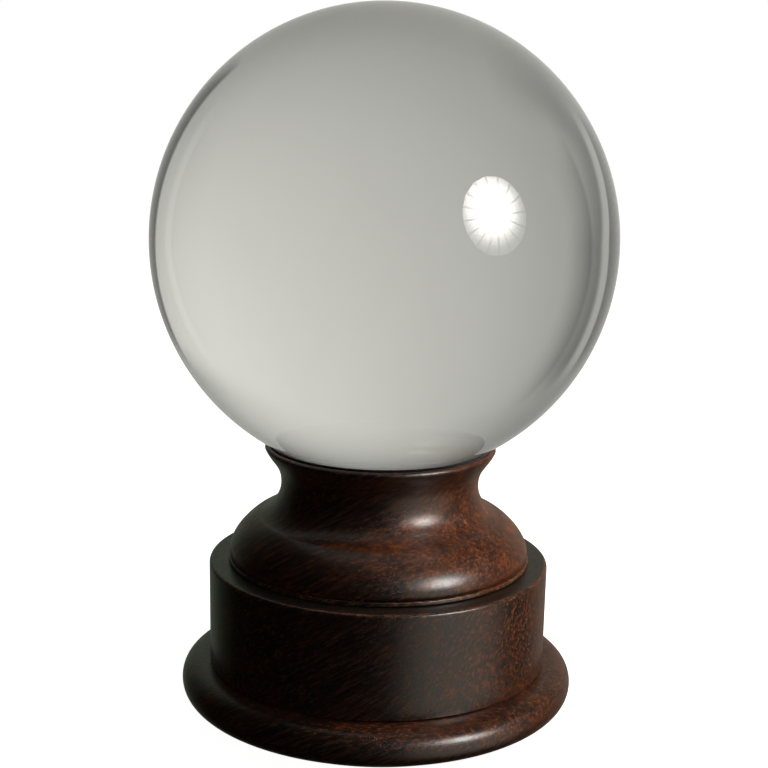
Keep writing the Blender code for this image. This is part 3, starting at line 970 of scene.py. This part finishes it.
def makeScrews(steel):
    s = screw
    nodes = [name for name in sorted(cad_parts) if name.startswith("plinth_screw")]
    low, high = lowHigh(nodes[0])
    length = high.z - low.z
    shoulder = low.z + s["rim"] + s["head"] - s["shank"]
    threadEnd = low.z + length * (1 - s["threaded"])
    tipStart = high.z - s["tip"]
    steps = math.ceil(s["tip"] / s["pitch"] * threadSteps)
    swell = s["shank"] - s["point"]
    taper = []
    for i in range(steps + 1):
        taper.append((s["point"] + swell * math.sqrt(i / steps), high.z - s["tip"] * i / steps))
    taperDepths = [s["depth"] * (r / s["shank"]) ** 2 * s["tipDepth"] for r, z in taper]
    thread = threadedRun(s["shank"], tipStart, threadEnd, s["depth"], s["pitch"])[0]
    depths = [s["depth"] * min(1.0, (z - threadEnd) / s["pitch"]) for r, z in thread]
    tail = [(s["shank"], shoulder), (s["head"], low.z + s["rim"]), (s["head"], low.z), (0.0, low.z)]
    points = [(0.0, high.z)] + taper + thread[1:] + tail
    marks = {"thread": [0.0] + taperDepths + depths[1:] + [0.0] * len(tail)}
    single = turned("screw_blank", points, steel, segments=40, marks=marks, pitch=s["pitch"])
    slotMesh = bpy.data.meshes.new("slot cutter")
    slot = newItem("slot cutter", slotMesh)
    shape = bmesh.new()
    bmesh.ops.create_cube(shape, size=1.0)
    size = Matrix.Diagonal((3 * s["head"] * mm, s["slotWidth"] * mm, 2 * s["slotDepth"] * mm, 1.0))
    bmesh.ops.transform(shape, matrix=Matrix.Translation((0, 0, low.z * mm)) @ size, verts=shape.verts)
    shape.to_mesh(slotMesh)
    shape.free()
    cut = single.modifiers.new("slot", "BOOLEAN")
    cut.operation = "DIFFERENCE"
    cut.object = slot
    plainMesh(single)
    bpy.data.objects.remove(slot)
    piece = placedRound("slotted_screws", single, nodes, steel)
    settle(piece, "stand", nodes)
    print("screws:", len(piece.data.polygons), "faces")


# studio: floor, light, surroundings and camera

studio = {
    "floorRadius": 3.0,
    "lightAzimuth": 53.0,         # to the right of the front, seen from the ball
    "lightElevation": 16.0,
    "lightDistance": 1.2,
    "lightRadius": 0.345,
    "lightPower": 34.0,
    "lightTint": (1.0, 0.985, 0.95, 1.0),
    "lightMiddle": (-0.08, 0.20),  # brightest spot, as shares of the radius
    "lightFall": (0.10, 1.12),     # where its glow starts to fall and where it ends, the same
    "lightEdge": 0.06,
    "lightRibs": 16,
    "lightRibWidth": (0.03, 0.30),
    "lightRibShade": 0.30,
    "fillAzimuth": 98.0,
    "fillElevation": 30.0,
    "fillSize": 0.5,
    "fillPower": 16.0,
    "fillTint": (1.0, 0.97, 0.9),
    "paper": 0.85,
    "paperGlow": 0.98,
}

camera = {
    "place": (0.0012, -0.4742, 0.20895),
    "pitch": 14.446,              # degrees below level
    "roll": 1.16,
    "lens": 68.8,
    "shiftY": 0.086,
    "nearest": 0.01,
}


def awayFromMiddle(azimuth, elevation):
    # the way from the object to a light, azimuth to the right of the front
    azimuth, elevation = math.radians(azimuth), math.radians(elevation)
    return Vector((math.sin(azimuth) * math.cos(elevation), -math.cos(azimuth) * math.cos(elevation),
                   math.sin(elevation)))


def aim(item, away, middle):
    item.location = middle + away * studio["lightDistance"]
    item.rotation_mode = "QUATERNION"
    item.rotation_quaternion = away.to_track_quat("Z", "Y")


def makeFloor():
    mesh = bpy.data.meshes.new("floor")
    shape = bmesh.new()
    bmesh.ops.create_circle(shape, cap_ends=True, segments=64, radius=studio["floorRadius"])
    shape.to_mesh(mesh)
    shape.free()
    floor = newItem("floor", mesh)
    finish, tree, shader = newFinish("white paper", {
        "Base Color": (*(studio["paper"],) * 3, 1.0), "Roughness": 1.0, "Specular IOR Level": 0.0,
        "Emission Color": (1.0, 1.0, 1.0, 1.0), "Emission Strength": studio["paperGlow"]})
    backside = addNode(tree, "ShaderNodeNewGeometry").outputs["Backfacing"]
    clear = addNode(tree, "ShaderNodeBsdfTransparent").outputs[0]
    sided = addNode(tree, "ShaderNodeMixShader", {0: backside, 1: shader.outputs[0], 2: clear}).outputs[0]
    tree.links.new(sided, tree.nodes["Material Output"].inputs["Surface"])
    mesh.materials.append(finish)
    floor.visible_diffuse = False
    floor.visible_glossy = False
    floor.visible_transmission = False


def makeSoftbox():
    s = studio
    radius, ribs = s["lightRadius"], s["lightRibs"]
    mesh = bpy.data.meshes.new("softbox")
    shape = bmesh.new()
    bmesh.ops.create_circle(shape, cap_ends=True, cap_tris=True, segments=ribs, radius=radius)
    shape.to_mesh(mesh)
    shape.free()
    box = newItem("softbox", mesh)
    away = awayFromMiddle(s["lightAzimuth"], s["lightElevation"])
    aim(box, away, Vector((0.0, 0.0, ballCentre * mm)))
    finish = bpy.data.materials.new("softbox cloth")
    finish.use_nodes = True
    tree = finish.node_tree
    tree.nodes.clear()
    coords = addNode(tree, "ShaderNodeTexCoord").outputs["Object"]
    parts = addNode(tree, "ShaderNodeSeparateXYZ", {0: coords}).outputs
    brightSpot = (s["lightMiddle"][0] * radius, s["lightMiddle"][1] * radius, 0.0)
    toSpot = addNode(tree, "ShaderNodeVectorMath", {0: coords, 1: brightSpot}, operation="DISTANCE")
    start, end = [share * radius for share in s["lightFall"]]
    fall = rangeOf(tree, toSpot.outputs["Value"], start, end, 1.0, s["lightEdge"], smooth=True)
    angle = calc(tree, "ARCTAN2", parts[1], parts[0])
    rib = calc(tree, "ABSOLUTE", calc(tree, "SINE", calc(tree, "MULTIPLY", angle, ribs / 2)))
    rib = rangeOf(tree, rib, *s["lightRibWidth"], s["lightRibShade"], 1.0)
    power = calc(tree, "MULTIPLY", calc(tree, "MULTIPLY", fall, rib), s["lightPower"])
    glow = addNode(tree, "ShaderNodeEmission", {"Color": s["lightTint"], "Strength": power}).outputs[0]
    addNode(tree, "ShaderNodeOutputMaterial", {"Surface": glow})
    mesh.materials.append(finish)
    box.visible_camera = False
    box.visible_diffuse = False


def makeFillLight():
    data = bpy.data.lights.new("fill", "AREA")
    data.shape = "DISK"
    data.size = studio["fillSize"]
    data.energy = studio["fillPower"]
    data.color = studio["fillTint"]
    lamp = newItem("fill", data)
    aim(lamp, awayFromMiddle(studio["fillAzimuth"], studio["fillElevation"]), Vector())
    lamp.visible_camera = False
    lamp.visible_glossy = False
    lamp.visible_transmission = False


# what the glass and the polish see, by direction: side to the right, depth to the back, rise upwards
surroundings = {
    "middle": 0.52,
    "slope": (0.237, 0.238),      # brighter to the right and upwards
    "bend": (-0.033, -0.111, 0.259),  # with side squared, up squared, and side times up
    "leftEdge": (-0.42, -0.62),   # the left and right patterns come in between these sides
    "rightEdge": (0.42, 0.62),
    "rightEnd": (0.41, 0.47),     # where the lit backdrop ends, as the share of straight back
    "leftFade": (0.62, 0.86),
    "fadedTo": 0.30,
    "leftBeyond": 0.10,
    "rightBeyond": 0.02,
    "fold": (0.51, 0.54, 0.59, 0.65),
    "foldLevel": 0.36,
    "lean": (0.08, -0.3),         # below this drop the left pattern leans outwards
    "table": (-0.42, -0.62),      # the table comes in between these rises
    "tableRight": 0.2,            # and this much lower to the right
    "tableFade": (-0.3, -0.6),
    "tableLeft": 0.62,
    "roof": (0.30, 0.50),
    "roofFade": (0.45, 0.88),
    "roofFront": 0.55,
    "ambient": 0.022,
    "beside": (0.24, 0.04),       # past here the backdrop is plain again
    "besideLevel": 0.8,
    "insideBounces": 3.5,         # light that has gone round inside the ball has more
    "front": (-0.15, 0.38, 0.06, 1.0),  # how mirrored light dims towards the front
    "onWood": (0.35, 0.85, 0.06, 1.0),  # and how the polish's reflections do
    "patch": (0.75, -0.565, -0.342),  # the part of the table that the softbox lights
    "patchReach": (0.74, 0.99),
    "patchLevel": 1.0,
    "onWoodSides": (0.46, 0.40),
    "tint": (1.0, 0.995, 0.93),
    "sideRange": (-0.2, 0.2),     # from the left value to the right one
    "tintRange": (-0.2, 0.3),
    "dullLeft": (0.86, 1.0, 0.76),    # what the dull wood sees, to the left and to the right
    "dullRight": (1.0, 0.95, 0.80),
}


def along(tree, way, direction):
    dot = addNode(tree, "ShaderNodeVectorMath", {0: way, 1: direction}, operation="DOT_PRODUCT")
    return dot.outputs["Value"]


def makeSurroundings():
    s = surroundings
    world = bpy.data.worlds.new("studio")
    bpy.context.scene.world = world
    world.use_nodes = True
    tree = world.node_tree
    tree.nodes.clear()
    way = addNode(tree, "ShaderNodeTexCoord").outputs["Generated"]
    side, depth, rise = addNode(tree, "ShaderNodeSeparateXYZ", {0: way}).outputs
    tilt = math.radians(camera["pitch"])
    upright = (0.0, math.sin(tilt), math.cos(tilt))
    upward = along(tree, way, upright)

    # the lit backdrop's own brightness
    level = calc(tree, "MULTIPLY_ADD", side, s["slope"][0], s["middle"])
    level = calc(tree, "MULTIPLY_ADD", upward, s["slope"][1], level)
    squares = [calc(tree, "POWER", side, 2.0), calc(tree, "POWER", upward, 2.0)]
    squares.append(calc(tree, "MULTIPLY", side, upward))
    for square, share in zip(squares, s["bend"]):
        level = calc(tree, "MULTIPLY_ADD", square, share, level)

    # to the left it fades, ends, and a fold of cloth shows beyond it
    drop, slant = s["lean"]
    lean = calc(tree, "MULTIPLY", calc(tree, "MINIMUM", calc(tree, "ADD", rise, drop), 0.0), slant)
    leaned = calc(tree, "ADD", depth, lean)
    fade = rangeOf(tree, leaned, *s["leftFade"], s["fadedTo"], 1.0, smooth=True)
    low, rising, falling, high = s["fold"]
    fold = calc(tree, "MULTIPLY", rangeOf(tree, leaned, low, rising, smooth=True),
                rangeOf(tree, leaned, high, falling, smooth=True))
    outside = rangeOf(tree, leaned, falling, high, s["leftBeyond"], 1.0, smooth=True)
    leftSide = calc(tree, "MULTIPLY", calc(tree, "MULTIPLY", level, fade), outside)
    leftSide = calc(tree, "ADD", leftSide, calc(tree, "MULTIPLY", fold, s["foldLevel"]))

    # to the right it ends, and the table and the roof come in below and above
    rightLit = rangeOf(tree, depth, *s["rightEnd"], smooth=True)
    rightSide = mixNumber(tree, rightLit, s["rightBeyond"], level)
    toLeft = rangeOf(tree, side, *s["leftEdge"], smooth=True)
    toRight = rangeOf(tree, side, *s["rightEdge"], smooth=True)
    tableRise = calc(tree, "MULTIPLY_ADD", toRight, s["tableRight"], rise)
    table = rangeOf(tree, tableRise, *s["table"], smooth=True)
    tableLevel = calc(tree, "MULTIPLY", level, rangeOf(tree, side, *s["tableFade"], 1.0, s["tableLeft"]))
    roof = rangeOf(tree, rise, *s["roof"], smooth=True)
    roofLevel = calc(tree, "MULTIPLY", level, rangeOf(tree, depth, *s["roofFade"], s["roofFront"], 1.0))
    beside = rangeOf(tree, depth, *s["beside"], smooth=True)
    besideLevel = calc(tree, "MULTIPLY", level, s["besideLevel"])
    seen = level
    regions = [(toLeft, leftSide), (toRight, rightSide), (beside, besideLevel), (table, tableLevel)]
    regions.append((roof, roofLevel))
    for share, region in regions:
        seen = mixNumber(tree, share, seen, region)
    seen = calc(tree, "MAXIMUM", seen, 0.0)

    # mirrored light, and then the dull reflections on the wood
    rays = addNode(tree, "ShaderNodeLightPath").outputs
    inner = calc(tree, "GREATER_THAN", rays["Ray Depth"], s["insideBounces"])
    dimmed = calc(tree, "MAXIMUM", inner, rays["Is Reflection Ray"])
    room = rangeOf(tree, depth, *s["front"])
    seen = calc(tree, "MULTIPLY", seen, mixNumber(tree, dimmed, 1.0, room))
    onWood = calc(tree, "MULTIPLY", seen, rangeOf(tree, depth, *s["onWood"], smooth=True))
    onWood = calc(tree, "MULTIPLY", onWood, rangeOf(tree, side, *s["sideRange"], *s["onWoodSides"]))
    patch = rangeOf(tree, along(tree, way, s["patch"]), *s["patchReach"], 0.0, s["patchLevel"], smooth=True)
    onWood = calc(tree, "ADD", onWood, patch)
    gloss = calc(tree, "SUBTRACT", rays["Is Glossy Ray"], rays["Is Singular Ray"], clamp=True)
    woodShare = calc(tree, "MULTIPLY", gloss, rays["Is Reflection Ray"])
    value = mixNumber(tree, woodShare, seen, onWood)
    value = mixNumber(tree, rays["Is Diffuse Ray"], value, s["ambient"])
    dull = calc(tree, "ADD", rays["Is Diffuse Ray"], woodShare, clamp=True)
    dullTint = mixColour(tree, rangeOf(tree, side, *s["tintRange"]), s["dullLeft"], s["dullRight"])
    tinted = mixColour(tree, dull, s["tint"], dullTint)

    # behind the object the backdrop is plain white
    tinted = mixColour(tree, rays["Is Camera Ray"], tinted, (1.0, 1.0, 1.0))
    value = mixNumber(tree, rays["Is Camera Ray"], value, 1.0)
    glow = addNode(tree, "ShaderNodeBackground", {"Color": tinted, "Strength": value}).outputs[0]
    addNode(tree, "ShaderNodeOutputWorld", {"Surface": glow})


def makeCamera():
    data = bpy.data.cameras.new("camera")
    data.lens = camera["lens"]
    data.shift_y = camera["shiftY"]
    data.clip_start = camera["nearest"]
    item = newItem("camera", data)
    turn = Matrix.Rotation(math.radians(90.0 - camera["pitch"]), 4, "X")
    turn = turn @ Matrix.Rotation(math.radians(camera["roll"]), 4, "Z")
    item.matrix_world = Matrix.Translation(camera["place"]) @ turn
    bpy.context.scene.camera = item


makeCamera()
makeFloor()
makeSoftbox()
makeFillLight()
makeSurroundings()
scene = bpy.context.scene
scene.view_settings.view_transform = "Standard"
scene.view_settings.look = "None"
print("studio ready")

zincSteel = turnedMetal("zinc steel", steelLook)
makeBall()
makeCup()
makeDrum()
makePlinth()
makeLining()
makeBaseFelt()
makeBolt(zincSteel)
makeWasher(zincSteel)
makeInsert()
makeDowels()
makeScrews(zincSteel)
